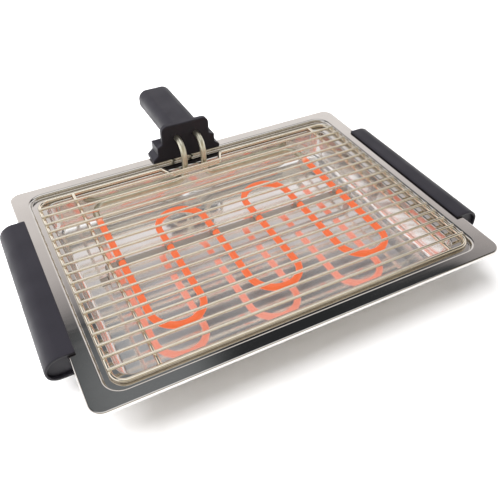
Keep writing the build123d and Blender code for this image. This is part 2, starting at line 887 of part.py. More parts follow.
cutout_back = plate_back + mount_plate_thickness + cutout_length
with BuildPart() as thermal_cutout:
    with BuildSketch(upright(plate_back + mount_plate_thickness)):
        with Locations((0, grip_middle)):
            Circle(cutout_diameter / 2)
    extrude(amount=-cutout_length)
    fillet(thermal_cutout.edges().sort_by(Axis.Y)[-1], cutout_edge_radius)
finish(thermal_cutout, "thermal_cutout")

block_front = plate_back + block_setback
cutout_lead_places = [(side * cutout_lead_x, grip_middle) for side in (-1, 1)]
with BuildPart() as cutout_leads:
    with BuildSketch(upright(cutout_back)):
        with Locations(*cutout_lead_places):
            Circle(cutout_lead_diameter / 2)
    extrude(amount=-(block_front - cutout_back + cutout_lead_grip))
finish(cutout_leads, "cutout_leads")

block_top = cavity_floor + block_height
terminal_places = [
    (side * lead_x, block_front + setback) for side in (-1, 1) for setback in (block_depth / 4, 3 * block_depth / 4)
]
terminal_screw_length = block_top - lead_z - coil_diameter / 2 - 2 * fit_clearance
with BuildPart() as terminal_block:
    with BuildSketch(Plane.XY.offset(cavity_floor)):
        with Locations((0, block_front + block_depth / 2)):
            RectangleRounded(lead_spacing + block_margin, block_depth, block_corner_radius)
    extrude(amount=block_height)
    with BuildSketch(upright(block_front)):
        with Locations(*lead_places):
            Circle(coil_diameter / 2 + fit_clearance)
    extrude(amount=-block_depth, mode=Mode.SUBTRACT)
    with BuildSketch(upright(block_front)):
        with Locations(*cutout_lead_places):
            Circle(cutout_lead_diameter / 2 + fit_clearance)
    extrude(amount=-(cutout_lead_grip + fit_clearance), mode=Mode.SUBTRACT)
    with BuildSketch(Plane.XY.offset(block_top)):
        with Locations(*terminal_places):
            Circle(screw_diameter / 2 + fit_clearance)
    extrude(amount=-(terminal_screw_length + coil_diameter / 2), mode=Mode.SUBTRACT)
finish(terminal_block, "terminal_block")

terminal_screws = screws(
    Plane.XY.offset(block_top),
    terminal_places,
    screw_diameter,
    terminal_screw_length,
    screw_head_diameter,
    screw_head_height,
    tip=-1,
)
finish(terminal_screws, "terminal_screws")

with BuildPart() as cord_clamp:
    with BuildSketch(Plane.XY.offset(clamp_bottom)):
        with Locations((0, clamp_y)):
            RectangleRounded(cord_clamp_length, cord_clamp_width, cord_clamp_corner_radius)
        with Locations(*clamp_screw_places):
            Circle(screw_diameter / 2 + screw_clearance, mode=Mode.SUBTRACT)
    extrude(amount=cord_clamp_height)
    with BuildSketch(upright(clamp_y - cord_clamp_width)):
        with Locations((0, grip_middle)):
            Circle(cord_radius)
    extrude(amount=-2 * cord_clamp_width, mode=Mode.SUBTRACT)
finish(cord_clamp, "cord_clamp")

clamp_screws = screws(
    Plane.XY.offset(clamp_bottom + cord_clamp_height),
    clamp_screw_places,
    screw_diameter,
    cord_clamp_height + clamp_screw_grip,
    screw_head_diameter,
    screw_head_height,
    tip=-1,
)
finish(clamp_screws, "cord_clamp_screws")

with BuildPart() as cord_bush:
    with BuildSketch(upright(grip_end - grip_end_wall - bush_flange)):
        with Locations((0, grip_middle)):
            Circle(bush_diameter / 2)
            Circle(bush_bore / 2, mode=Mode.SUBTRACT)
    extrude(amount=-(grip_end_wall + 2 * bush_flange))
    for flange_front in (grip_end - grip_end_wall - bush_flange, grip_end):
        with BuildSketch(upright(flange_front)):
            with Locations((0, grip_middle)):
                Circle(bush_flange_diameter / 2)
                Circle(bush_bore / 2, mode=Mode.SUBTRACT)
        extrude(amount=-bush_flange)
finish(cord_bush, "cord_inlet_bush")
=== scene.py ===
import math

import bpy
import numpy as np
from mathutils import Matrix, Vector


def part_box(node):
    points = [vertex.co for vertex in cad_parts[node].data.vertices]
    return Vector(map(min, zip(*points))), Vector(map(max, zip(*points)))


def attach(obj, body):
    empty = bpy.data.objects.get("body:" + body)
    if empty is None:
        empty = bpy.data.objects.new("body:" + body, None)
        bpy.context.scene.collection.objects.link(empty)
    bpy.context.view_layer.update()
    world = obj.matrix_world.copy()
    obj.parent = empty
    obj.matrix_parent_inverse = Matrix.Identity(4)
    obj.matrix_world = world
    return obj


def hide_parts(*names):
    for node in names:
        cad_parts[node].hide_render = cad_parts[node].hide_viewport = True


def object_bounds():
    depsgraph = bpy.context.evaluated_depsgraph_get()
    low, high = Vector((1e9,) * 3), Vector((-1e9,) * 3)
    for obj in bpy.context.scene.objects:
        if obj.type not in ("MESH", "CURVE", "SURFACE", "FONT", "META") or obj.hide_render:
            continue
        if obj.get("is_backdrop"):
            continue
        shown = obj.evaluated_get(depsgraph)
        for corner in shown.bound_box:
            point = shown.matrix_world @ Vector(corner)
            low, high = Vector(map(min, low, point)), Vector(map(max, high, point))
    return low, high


# Looks of the table-top electric grill: polished pressed tray, plated wire grate, glowing tubular
# element, and black moulded handles and grip. Shapes are worked out in millimetres and written in
# metres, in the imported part's own frame.

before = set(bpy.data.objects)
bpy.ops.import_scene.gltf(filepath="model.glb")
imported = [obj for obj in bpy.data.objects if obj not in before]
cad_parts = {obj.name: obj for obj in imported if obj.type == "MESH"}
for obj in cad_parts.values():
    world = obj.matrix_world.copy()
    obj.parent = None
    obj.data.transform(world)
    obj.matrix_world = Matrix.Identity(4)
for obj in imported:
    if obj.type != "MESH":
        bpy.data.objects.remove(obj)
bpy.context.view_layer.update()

METRE = 1000.0
HALF_TURN = math.pi
QUARTER_TURN = math.pi / 2


def corners(node):
    """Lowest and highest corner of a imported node, in millimetres."""
    low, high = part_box(node)
    return np.array(low) * METRE, np.array(high) * METRE


# ---------------------------------------------------------------- driving sizes, millimetres
sheet = 0.8
rim_corner = 14.0
lip_depth = 4.0
lip_radius = 1.5
border_side = 21.0
border_end = 17.0
recess_depth = 5.0
recess_corner = 17.0
mouth_radius = 3.0
recess_floor_radius = 1.2
ledge_width = 16.0
ledge_edge_radius = 2.4
well_corner = 16.0
well_draft = 4.0
well_floor_radius = 10.0
pan_depth = 44.7

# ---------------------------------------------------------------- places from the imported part
tray_low, tray_high = corners("tray")
tray_y = (tray_low[1] + tray_high[1]) / 2
rim_half = (tray_high[:2] - tray_low[:2]) / 2
rim_z = tray_high[2]
ledge_z = rim_z - recess_depth
floor_z = rim_z - pan_depth
recess_half = rim_half - (border_side, border_end)
well_half = recess_half - ledge_width


# ---------------------------------------------------------------- mesh helpers
def ring_faces(rings, across, closed=False):
    """Quads between neighbouring rings, each ring a closed loop of the same number of points."""
    start = np.arange(rings if closed else rings - 1)[:, None] * across
    here = np.arange(across)[None, :]
    beside = (here + 1) % across
    total = rings * across
    quads = np.stack(
        [start + here, start + beside, (start + across + beside) % total, (start + across + here) % total],
        axis=-1,
    )
    return quads.reshape(-1, 4).tolist()


def loft(rings, closed=False, strip_ends=False):
    """Surface through rings (rings, points, 3): quads between the rings, and either one face over
    each end, or, for a thin wall's outline, a strip of quads from its one side to its other."""
    rings = np.asarray(rings, float)
    count, across = rings.shape[:2]
    faces = ring_faces(count, across, closed)
    if not closed:
        for first in (0, (count - 1) * across):
            if strip_ends:
                near = np.arange(across // 2 - 1)
                far = across - 1 - near
                quads = np.stack([near, near + 1, far - 1, far], axis=-1) + first
                faces += quads.tolist()
            else:
                faces.append((np.arange(across) + first).tolist())
    return rings.reshape(-1, 3), faces


def joined(*surfaces):
    """Several surfaces as one, each keeping its own points."""
    points, faces, before = [], [], 0
    for surface_points, surface_faces in surfaces:
        points.append(surface_points)
        faces += [[before + corner for corner in face] for face in surface_faces]
        before += len(surface_points)
    return np.concatenate(points), faces


def piece(name, surface, material, body, nodes, sharp=40.0):
    """A finished piece: its mesh in metres, faces turned outwards, riding on its body and standing
    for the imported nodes. Edges that turn by more than the sharp angle are kept crisp."""
    points, faces = surface
    mesh = bpy.data.meshes.new(name)
    mesh.from_pydata((points / METRE).tolist(), [], faces)
    mesh.validate()
    tool = bmesh_of(mesh)
    tool.to_mesh(mesh)
    tool.free()
    mesh.polygons.foreach_set("use_smooth", np.ones(len(mesh.polygons), bool))
    mesh.set_sharp_from_angle(angle=math.radians(sharp))
    mesh.materials.append(material)
    made = bpy.data.objects.new(name, mesh)
    bpy.context.scene.collection.objects.link(made)
    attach(made, body)
    if nodes:
        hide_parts(*nodes)
    return made


def bmesh_of(mesh):
    """The mesh opened for repair, with its faces turned outwards."""
    import bmesh

    tool = bmesh.new()
    tool.from_mesh(mesh)
    bmesh.ops.recalc_face_normals(tool, faces=tool.faces)
    return tool


def arc(centre, radius, start, end, steps):
    """Points on an arc in a plane: centre plus radius times (cos, sin) of the angle from start to
    end, both in radians."""
    angle = np.linspace(start, end, steps + 1)
    return np.stack([centre[0] + radius * np.cos(angle), centre[1] + radius * np.sin(angle)], axis=-1)


# ---------------------------------------------------------------- tray
def rounded_rectangle(half, radius, steps=12, side_steps=6):
    """Closed loop round a rectangle with round corners, about the tray's middle. Each corner is a
    quarter circle and each side a straight run, with the same count of points at any size."""
    half_x, half_y = half
    turns = np.linspace(0, QUARTER_TURN, steps + 1)
    quarter = np.stack([np.cos(turns), np.sin(turns)], axis=-1) * radius
    loop = []
    for number in range(4):
        turn = number * QUARTER_TURN
        spin = np.array([[math.cos(turn), math.sin(turn)], [-math.sin(turn), math.cos(turn)]])
        signs = ((1, 1), (-1, 1), (-1, -1), (1, -1))[number]
        middle = (half_x - radius) * signs[0], (half_y - radius) * signs[1]
        corner = quarter @ spin + middle
        loop.append(corner)
    runs = []
    for number in range(4):
        start = loop[number][-1]
        end = loop[(number + 1) % 4][0]
        share = np.linspace(0, 1, side_steps + 1)[1:-1, None]
        runs += [loop[number], start + (end - start) * share]
    flat = np.concatenate(runs)
    return flat + (0.0, tray_y)


def ring_at(half, radius, grow, z):
    """One loop of the tray: a rounded rectangle grown by a distance, at a height."""
    flat = rounded_rectangle(np.asarray(half) + grow, radius + grow)
    return np.column_stack([flat, np.full(len(flat), z)])


def tray_skin(skin):
    """Rings from the lip's lower edge over the rim, down the recess, over the ledge and down the
    well to its floor. skin 0 gives the upper face, and one sheet gives the under face."""
    steps = 8
    hold = 0.25
    rings = []

    outer = rim_half, rim_corner
    rings.append(ring_at(*outer, -skin, rim_z - lip_depth))
    rings.append(ring_at(*outer, -skin, rim_z - lip_radius - hold))
    for grow, z in arc((-lip_radius, rim_z - lip_radius), lip_radius - skin, 0, QUARTER_TURN, steps):
        rings.append(ring_at(*outer, grow, z))
    rings.append(ring_at(*outer, -lip_radius - hold, rim_z - skin))

    recess = recess_half, recess_corner
    rings.append(ring_at(*recess, mouth_radius + hold, rim_z - skin))
    mouth = arc((mouth_radius, rim_z - mouth_radius), mouth_radius - skin, QUARTER_TURN, HALF_TURN, steps)
    for grow, z in mouth:
        rings.append(ring_at(*recess, grow, z))
    base_centre = -recess_floor_radius, ledge_z + recess_floor_radius
    for grow, z in arc(base_centre, recess_floor_radius + skin, 0, -QUARTER_TURN, steps):
        rings.append(ring_at(*recess, grow, z))
    rings.append(ring_at(*recess, -recess_floor_radius - hold, ledge_z - skin))

    well = well_half, well_corner
    slope = math.atan2(well_draft, ledge_z - floor_z)
    drift = ledge_edge_radius * math.tan((QUARTER_TURN - slope) / 2)
    rings.append(ring_at(*well, drift + hold, ledge_z - skin))
    edge_centre = drift, ledge_z - ledge_edge_radius
    edge = arc(edge_centre, ledge_edge_radius - skin, QUARTER_TURN, HALF_TURN - slope, steps)
    for grow, z in edge:
        rings.append(ring_at(*well, grow, z))

    base = well_half - well_draft, well_corner
    inset = well_floor_radius * math.tan((QUARTER_TURN - slope) / 2)
    floor_centre = -inset, floor_z + well_floor_radius
    for grow, z in arc(floor_centre, well_floor_radius + skin, -slope, -QUARTER_TURN, 2 * steps):
        rings.append(ring_at(*base, grow, z))
    rings.append(ring_at(*base, -inset - hold, floor_z - skin))
    return rings


def pressed_tray():
    """The sheet's upper face from floor to lip, and back along its under face to the floor."""
    return loft(tray_skin(0)[::-1] + tray_skin(sheet))


# ---------------------------------------------------------------- wires and tubes
def rounded_route(points, radii, closed=False, turn_step=5.0):
    """A route of straight runs joined by arcs. At a corner, the arc of radius r starts r times the
    tangent of half the turn before it; its points are spread evenly over the turn."""
    points = np.asarray(points, float)
    count = len(points)
    route = []
    for number in range(count):
        here = points[number]
        if not closed and number in (0, count - 1):
            route.append(here[None, :])
            continue
        before = points[number - 1] - here
        after = points[(number + 1) % count] - here
        before /= np.linalg.norm(before)
        after /= np.linalg.norm(after)
        turn = HALF_TURN - math.acos(np.clip(before @ after, -1, 1))
        radius = radii[number]
        back = radius * math.tan(turn / 2)
        middle = here + (before + after) / np.linalg.norm(before + after) * radius / math.cos(turn / 2)
        steps = max(2, round(math.degrees(turn) / turn_step))
        angle = np.linspace(0, turn, steps + 1)[:, None]
        side = (here + before * back - middle) / radius
        ahead = -before
        route.append(middle + radius * (side * np.cos(angle) + ahead * np.sin(angle)))
    return np.concatenate(route)


def subdivided(route, longest):
    """The same route with points added, so that no run is longer than the given length."""
    pieces = []
    for start, end in zip(route[:-1], route[1:]):
        parts = max(1, math.ceil(np.linalg.norm(end - start) / longest))
        pieces.append(start + (end - start) * np.linspace(0, 1, parts + 1)[:-1, None])
    pieces.append(route[-1:])
    return np.concatenate(pieces)


def tube(route, radius, around=16, closed=False, reference=(1, 1, 1), end_round=0.0, end_steps=5):
    """Round tube along a route: each point of a ring is the route's point plus radius times
    (cos a, sin a) on two directions square to the route. The ends are rounded over by end_round."""
    route = np.asarray(route, float)
    if closed:
        ahead = np.roll(route, -1, axis=0) - np.roll(route, 1, axis=0)
    else:
        ahead = np.gradient(route, axis=0)
    ahead /= np.linalg.norm(ahead, axis=1, keepdims=True)
    radii = np.full(len(route), float(radius))
    if end_round:
        turn = np.linspace(0, QUARTER_TURN, end_steps)
        small = radius - end_round + end_round * np.sin(turn)
        back = end_round * (1 - np.cos(turn))[:, None]
        start = route[0] + ahead[0] * back
        end = (route[-1] - ahead[-1] * back)[::-1]
        route = np.concatenate([start, route[1:-1], end])
        radii = np.concatenate([small, radii[1:-1], small[::-1]])
        first = np.repeat(ahead[:1], end_steps, 0)
        last = np.repeat(ahead[-1:], end_steps, 0)
        ahead = np.concatenate([first, ahead[1:-1], last])
    reference = np.asarray(reference, float)
    side = reference - (ahead @ reference)[:, None] * ahead
    side /= np.linalg.norm(side, axis=1, keepdims=True)
    other = np.cross(ahead, side)
    angle = np.arange(around) * 2 * HALF_TURN / around
    across = np.cos(angle)[None, :, None]
    along = np.sin(angle)[None, :, None]
    circle = side[:, None, :] * across + other[:, None, :] * along
    return loft(route[:, None, :] + circle * radii[:, None, None], closed)


# ---------------------------------------------------------------- materials
def colour(code):
    """A screen colour written in hex, as linear red, green and blue with full cover."""
    parts = [int(code[i : i + 2], 16) / 255 for i in (1, 3, 5)]
    return tuple(p / 12.92 if p <= 0.04045 else ((p + 0.055) / 1.055) ** 2.4 for p in parts) + (1.0,)


def add(tree, kind, inputs=None, **settings):
    """Add a node with its settings. Each input takes a plain value or another node's output."""
    node = tree.nodes.new(kind)
    for name, value in settings.items():
        setattr(node, name, value)
    for socket, value in (inputs or {}).items():
        if isinstance(value, bpy.types.NodeSocket):
            tree.links.new(value, node.inputs[socket])
        else:
            node.inputs[socket].default_value = value
    return node


def new_material(name):
    """An empty material with its surface shader, and its node tree."""
    material = bpy.data.materials.new(name)
    material.use_nodes = True
    return material, material.node_tree, material.node_tree.nodes["Principled BSDF"]


def noise(tree, feature, stretch=(1, 1, 1), detail=2.0, roughness=0.5):
    """Noise in object coordinates, whose blobs are the given size in millimetres. A stretch above
    one on an axis packs the pattern closer along it."""
    place = add(tree, "ShaderNodeTexCoord").outputs["Object"]
    turned = add(tree, "ShaderNodeMapping", {"Vector": place, "Scale": stretch}).outputs["Vector"]
    made = add(
        tree,
        "ShaderNodeTexNoise",
        {"Vector": turned, "Scale": METRE / feature, "Detail": detail, "Roughness": roughness},
    )
    return made.outputs["Fac"]


def between(tree, value, low, high, to_low, to_high, kind="LINEAR"):
    """The value's part between low and high, spread over to_low to to_high."""
    made = add(
        tree,
        "ShaderNodeMapRange",
        {"Value": value, "From Min": low, "From Max": high, "To Min": to_low, "To Max": to_high},
        interpolation_type=kind,
    )
    return made.outputs["Result"]


def blend_colours(tree, share, first, second):
    """Colour that goes from the first to the second by share."""
    made = add(tree, "ShaderNodeMix", data_type="RGBA")
    for socket, value in ((0, share), (6, first), (7, second)):
        if isinstance(value, bpy.types.NodeSocket):
            tree.links.new(value, made.inputs[socket])
        else:
            made.inputs[socket].default_value = value
    return made.outputs[2]


def raised(tree, height, depth, below=None):
    """Bump of the given depth in millimetres from a height between 0 and 1, over another bump."""
    inputs = {"Height": height, "Distance": depth / METRE, "Strength": 1.0}
    if below is not None:
        inputs["Normal"] = below
    return add(tree, "ShaderNodeBump", inputs).outputs["Normal"]


def polished_stainless(name="polished_stainless_18_10"):
    """Stainless sheet, pressed and mirror-polished: near-white metal, with slow waves left by the press
    and faint wiping marks. The well is painted paler, less metallic and slightly rougher: a painted
    brightness for the brighter reflection its floor catches."""
    material, tree, shader = new_material(name)
    cloudy = noise(tree, 45.0, detail=3.0)
    wiped = noise(tree, 14.0, stretch=(0.12, 1.6, 1), detail=3.0)
    tint = blend_colours(tree, cloudy, colour("#D9D6D2"), colour("#CBC7C3"))
    place = add(tree, "ShaderNodeTexCoord").outputs["Object"]
    height = add(tree, "ShaderNodeSeparateXYZ", {"Vector": place}).outputs["Z"]
    deep = between(tree, height, (floor_z + 8) / METRE, ledge_z / METRE, 1.0, 0.0, "SMOOTHSTEP")
    # painted brightness: the well's base is painted paler (#F0EFEE) and made less metallic, standing in
    # for the brighter reflection its floor catches
    well_painted_paler = blend_colours(tree, deep, tint, colour("#F0EFEE"))
    tree.links.new(between(tree, deep, 0.0, 1.0, 1.0, 0.84), shader.inputs["Metallic"])
    tree.links.new(well_painted_paler, shader.inputs["Base Color"])
    clean = between(tree, wiped, 0.3, 0.75, 0.05, 0.13)
    hazy = between(tree, wiped, 0.3, 0.75, 0.07, 0.13)
    spread = add(tree, "ShaderNodeMix", {0: deep, 2: clean, 3: hazy})
    tree.links.new(spread.outputs[0], shader.inputs["Roughness"])
    waves = raised(tree, noise(tree, 70.0, detail=1.0), 0.10)
    marks = raised(tree, wiped, 0.004, waves)
    tree.links.new(marks, shader.inputs["Normal"])
    return material


def plain_stainless():
    """Stainless left as rolled: a grey sheet with a fine dull grain."""
    material, tree, shader = new_material("rolled_stainless_2b")
    grain = noise(tree, 1.5, stretch=(0.1, 1, 1), detail=2.0)
    tint = blend_colours(tree, grain, colour("#D2CFCA"), colour("#BFBCB6"))
    shader.inputs["Metallic"].default_value = 1.0
    tree.links.new(tint, shader.inputs["Base Color"])
    tree.links.new(between(tree, grain, 0.2, 0.8, 0.26, 0.4), shader.inputs["Roughness"])
    tree.links.new(raised(tree, grain, 0.02), shader.inputs["Normal"])
    return material


def plated_wire():
    """Drawn steel wire with bright nickel-chrome plating: warm white metal, with thin drawing
    lines and slightly uneven plating."""
    material, tree, shader = new_material("nickel_chrome_plated_wire")
    uneven = noise(tree, 9.0, detail=3.0)
    fine = noise(tree, 1.6, stretch=(0.15, 1, 1), detail=2.0)
    tint = blend_colours(tree, uneven, colour("#F6EFE2"), colour("#E6DCC8"))
    shader.inputs["Metallic"].default_value = 1.0
    tree.links.new(tint, shader.inputs["Base Color"])
    tree.links.new(between(tree, uneven, 0.3, 0.7, 0.06, 0.14), shader.inputs["Roughness"])
    tree.links.new(raised(tree, fine, 0.02), shader.inputs["Normal"])
    return material


def element_steel():
    """Nickel-alloy heater sheath: bare and dull silver at its cold ends, glowing orange where the
    coil runs inside it, with a thin uneven oxide skin."""
    material, tree, shader = new_material("heater_sheath_alloy")
    place = add(tree, "ShaderNodeTexCoord").outputs["Object"]
    along = add(tree, "ShaderNodeSeparateXYZ", {"Vector": place}).outputs["Y"]
    hot = between(tree, along, hot_ends_y / METRE, (hot_ends_y - hot_fade) / METRE, 0.0, 1.0, "SMOOTHSTEP")
    skin = noise(tree, 7.0, detail=3.0)
    bare = blend_colours(tree, skin, colour("#E6E3D2"), colour("#CDC9B2"))
    scaled = blend_colours(tree, skin, colour("#3A2620"), colour("#2A1B17"))
    tree.links.new(blend_colours(tree, hot, bare, scaled), shader.inputs["Base Color"])
    tree.links.new(between(tree, hot, 0.0, 1.0, 1.0, 0.0), shader.inputs["Metallic"])
    tree.links.new(between(tree, skin, 0.3, 0.7, 0.28, 0.42), shader.inputs["Roughness"])
    glow = blend_colours(tree, skin, colour("#F0713F"), colour("#E4622F"))
    tree.links.new(glow, shader.inputs["Emission Color"])
    tree.links.new(between(tree, hot, 0.0, 1.0, 0.0, 1.0), shader.inputs["Emission Strength"])
    tree.links.new(raised(tree, skin, 0.03), shader.inputs["Normal"])
    return material


def phenolic(name="moulded_phenolic"):
    """Black phenolic moulding: near-black with a soft sheen from its fine eroded mould texture,
    and faint flow clouding. The grain is drawn at 0.9 mm, coarser than the real one, so it shows."""
    material, tree, shader = new_material(name)
    cloud = noise(tree, 30.0, detail=3.0)
    grain = noise(tree, 0.9, detail=1.0)
    tint = blend_colours(tree, cloud, colour("#201E25"), colour("#19181E"))
    tree.links.new(tint, shader.inputs["Base Color"])
    tree.links.new(between(tree, cloud, 0.3, 0.7, 0.42, 0.54), shader.inputs["Roughness"])
    shader.inputs["Specular IOR Level"].default_value = 0.3
    tree.links.new(raised(tree, grain, 0.03), shader.inputs["Normal"])
    return material


def small_metal(name, light, dark, roughness):
    """Small turned or stamped metal: two close tones over its surface and a fine grain."""
    material, tree, shader = new_material(name)
    uneven = noise(tree, 2.5, detail=3.0)
    shader.inputs["Metallic"].default_value = 1.0
    tree.links.new(blend_colours(tree, uneven, colour(light), colour(dark)), shader.inputs["Base Color"])
    spread = between(tree, uneven, 0.3, 0.7, roughness - 0.06, roughness + 0.08)
    tree.links.new(spread, shader.inputs["Roughness"])
    tree.links.new(raised(tree, uneven, 0.02), shader.inputs["Normal"])
    return material


def matt_solid(name, light, dark, roughness, grain_size=1.2):
    """A non-metal such as fired steatite or silicone: two close tones and a fine grain."""
    material, tree, shader = new_material(name)
    uneven = noise(tree, grain_size, detail=3.0)
    tree.links.new(blend_colours(tree, uneven, colour(light), colour(dark)), shader.inputs["Base Color"])
    spread = between(tree, uneven, 0.3, 0.7, roughness - 0.06, roughness + 0.08)
    tree.links.new(spread, shader.inputs["Roughness"])
    tree.links.new(raised(tree, uneven, 0.03), shader.inputs["Normal"])
    return material


# ---------------------------------------------------------------- grate, element: sizes and places
frame_low, frame_high = corners("grate_frame")
frame_wire = frame_high[2] - frame_low[2]
frame_wire_z = (frame_low[2] + frame_high[2]) / 2
frame_left_x = frame_low[0] + frame_wire / 2
frame_right_x = frame_high[0] - frame_wire / 2
frame_front_y = frame_low[1] + frame_wire / 2
frame_back_y = frame_high[1] - frame_wire / 2
grate_corner = 14.0
notch_half_width = 42.0
notch_slope = 9.0
notch_radius = 5.0
bar_count = 18
last_bar_low, last_bar_high = corners(f"grate_bar_{bar_count:02d}")
notch_y = (last_bar_low[1] + last_bar_high[1]) / 2
bar_wire = last_bar_high[2] - last_bar_low[2]
bar_end_round = 0.7

sheath_low, sheath_high = corners("element_sheath")
tube_radius = 4.0
element_z = sheath_low[2] + tube_radius
lead_z = sheath_high[2] - tube_radius
outer_leg_left = sheath_low[0] + tube_radius
outer_leg_right = sheath_high[0] - tube_radius
leg_count = 6
leg_pitch = (outer_leg_right - outer_leg_left) / (leg_count - 1)
bend_radius = leg_pitch / 2
front_bend_y = sheath_low[1] + tube_radius + bend_radius
lead_y = 87.0
lead_x = 13.5
back_gap = 56.5
back_bend_y = lead_y - back_gap - bend_radius
lead_top_radius = 18.0
lead_bottom_radius = 15.0
side_run_radius = 20.0
tube_end_y = sheath_high[1]
cold_run = 7.5
hot_ends_y = lead_y - side_run_radius - cold_run
hot_fade = 14.0
longest_run = 30.0


def grate_frame_route():
    """The frame wire's middle line: a rectangle with a notch in its back for the leads."""
    notch_inner = notch_half_width - notch_slope
    places = [
        (frame_left_x, frame_front_y),
        (frame_right_x, frame_front_y),
        (frame_right_x, frame_back_y),
        (notch_half_width, frame_back_y),
        (notch_inner, notch_y),
        (-notch_inner, notch_y),
        (-notch_half_width, frame_back_y),
        (frame_left_x, frame_back_y),
    ]
    radii = [grate_corner] * 3 + [notch_radius] * 4 + [grate_corner]
    return rounded_route([(x, y, frame_wire_z) for x, y in places], radii, closed=True)


def element_route():
    """The tube's middle line: from the head down to the left outer leg, along the snake of legs
    and half-round bends, and back up to the head."""
    corners_of_route = [
        (-lead_x, tube_end_y, lead_z),
        (-lead_x, lead_y, lead_z),
        (-lead_x, lead_y, element_z),
        (outer_leg_left, lead_y, element_z),
    ]
    radii = [0, lead_top_radius, lead_bottom_radius, side_run_radius]
    for number in range(leg_count - 1):
        x = outer_leg_left + number * leg_pitch
        forwards = number % 2 == 0
        y = front_bend_y - bend_radius if forwards else back_bend_y + bend_radius
        corners_of_route += [(x, y, element_z), (x + leg_pitch, y, element_z)]
        radii += [bend_radius * 0.9999] * 2
    corners_of_route += [
        (outer_leg_right, lead_y, element_z),
        (lead_x, lead_y, element_z),
        (lead_x, lead_y, lead_z),
        (lead_x, tube_end_y, lead_z),
    ]
    radii += [side_run_radius, lead_bottom_radius, lead_top_radius, 0]
    return rounded_route(corners_of_route, radii)


def bar_route(number, random):
    """One bar from end to end, with a slight bow: a half wave of up to a third of a millimetre,
    sideways and up, that vanishes at its ends."""
    low, high = corners(f"grate_bar_{number:02d}")
    x = np.linspace(low[0], high[0], 33)
    wave = np.sin(HALF_TURN * (x - low[0]) / (high[0] - low[0]))
    sideways, upwards = random.uniform(-0.35, 0.35), random.uniform(-0.3, 0.0)
    y = (low[1] + high[1]) / 2 + sideways * wave
    z = (low[2] + high[2]) / 2 + upwards * wave
    return np.column_stack([x, y, z])


def bead(centre, size, around=8, levels=5):
    """A small weld bead: an ellipsoid of the given half sizes, in rings from pole to pole."""
    rise = np.linspace(-QUARTER_TURN * 0.9, QUARTER_TURN * 0.9, levels)
    turn = np.arange(around) * 2 * HALF_TURN / around
    ring = np.stack([np.cos(turn), np.sin(turn), np.zeros(around)], axis=-1)
    rings = ring[None] * np.cos(rise)[:, None, None]
    rings = rings + np.array([0, 0, 1.0]) * np.sin(rise)[:, None, None]
    return loft(rings * np.asarray(size) + np.asarray(centre))


weld_size = (1.3, 0.8, 0.7)
weld_offset = 0.38
softer_edges = {"head_front_plate": 0.6, "grip_upper_shell": 0.45, "grip_lower_shell": 0.45}


def weld_places():
    """Where the beads lie: on both sides of each bar, where it crosses the frame's sides and the
    supports, at the height at which the two wires meet."""
    lines = [frame_left_x, frame_right_x]
    for word in ("left", "right"):
        low, high = corners(f"grate_support_{word}")
        lines.append((low[0] + high[0]) / 2)
    places = []
    for number in range(1, bar_count + 1):
        low, high = corners(f"grate_bar_{number:02d}")
        middle = (low[1] + high[1]) / 2
        for x in lines:
            for side in (-1, 1):
                places.append((x, middle + side * bar_wire * weld_offset, frame_wire_z + frame_wire / 2))
    return places


def soften(made, width):
    """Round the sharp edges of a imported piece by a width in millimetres."""
    bevel = made.modifiers.new("eased_edges", "BEVEL")
    bevel.width = width / METRE
    bevel.segments = 3
    bevel.limit_method = "ANGLE"
    bevel.angle_limit = math.radians(40)
    bevel.harden_normals = False


# ---------------------------------------------------------------- side handles
handle_wall = 3.0
handle_overlap = 7.5
handle_flat = 7.0
handle_reach = 25.0
handle_drop = 28.0
handle_return = 26.0
handle_corner = 2.0
handle_edge = 1.0
web_inset = 4.0
web_gap = 1.2
shoulder_radius = handle_reach - handle_wall / 2 - handle_flat
curl_radius = handle_drop - shoulder_radius


def handle_middle_line(start_x):
    """The middle of the wall for a handle on the right: flat over the rim, round the shoulder,
    curled under and back, as (x, z) points with the direction square to each."""
    rim_side = rim_half[0]
    top_z = rim_z + handle_wall / 2
    flat_x = rim_side + handle_flat
    flat = np.column_stack([np.linspace(start_x, flat_x, 8)[:-1], np.full(7, top_z)])
    shoulder = arc((flat_x, top_z - shoulder_radius), shoulder_radius, QUARTER_TURN, 0, 20)
    far_x = flat_x + shoulder_radius
    curl = arc((far_x - curl_radius, top_z - shoulder_radius), curl_radius, 0, -QUARTER_TURN, 14)[1:]
    under_z = curl[-1][1]
    under_end = rim_side + handle_reach - handle_return
    under = np.column_stack([np.linspace(curl[-1][0], under_end, 5)[1:], np.full(4, under_z)])
    line = np.concatenate([flat, shoulder, curl, under])
    ahead = np.gradient(line, axis=0)
    ahead /= np.linalg.norm(ahead, axis=1, keepdims=True)
    outwards = np.stack([-ahead[:, 1], ahead[:, 0]], axis=-1)
    return line, ahead, outwards


def wall_outline(inset):
    """The wall's closed outline: out along the outer face, round the under end's nose, back along
    the inner face and round the rim end's nose. The noses are half circles."""
    line, ahead, outwards = handle_middle_line(rim_half[0] - handle_overlap + handle_wall / 2)
    half = handle_wall / 2 - inset
    turns = np.linspace(QUARTER_TURN, 0, 5)[1:, None]
    nose_end = line[-1] + half * (outwards[-1] * np.sin(turns) + ahead[-1] * np.cos(turns))
    nose_end_back = line[-1] + half * (-outwards[-1] * np.sin(turns) + ahead[-1] * np.cos(turns))
    nose_start = line[0] + half * (outwards[0] * np.sin(turns) - ahead[0] * np.cos(turns))
    nose_start_back = line[0] + half * (-outwards[0] * np.sin(turns) - ahead[0] * np.cos(turns))
    outer = np.concatenate([nose_start[::-1], line + outwards * half, nose_end])
    inner = np.concatenate([nose_start_back[::-1], line - outwards * half, nose_end_back])
    return np.concatenate([outer, inner[::-1]])


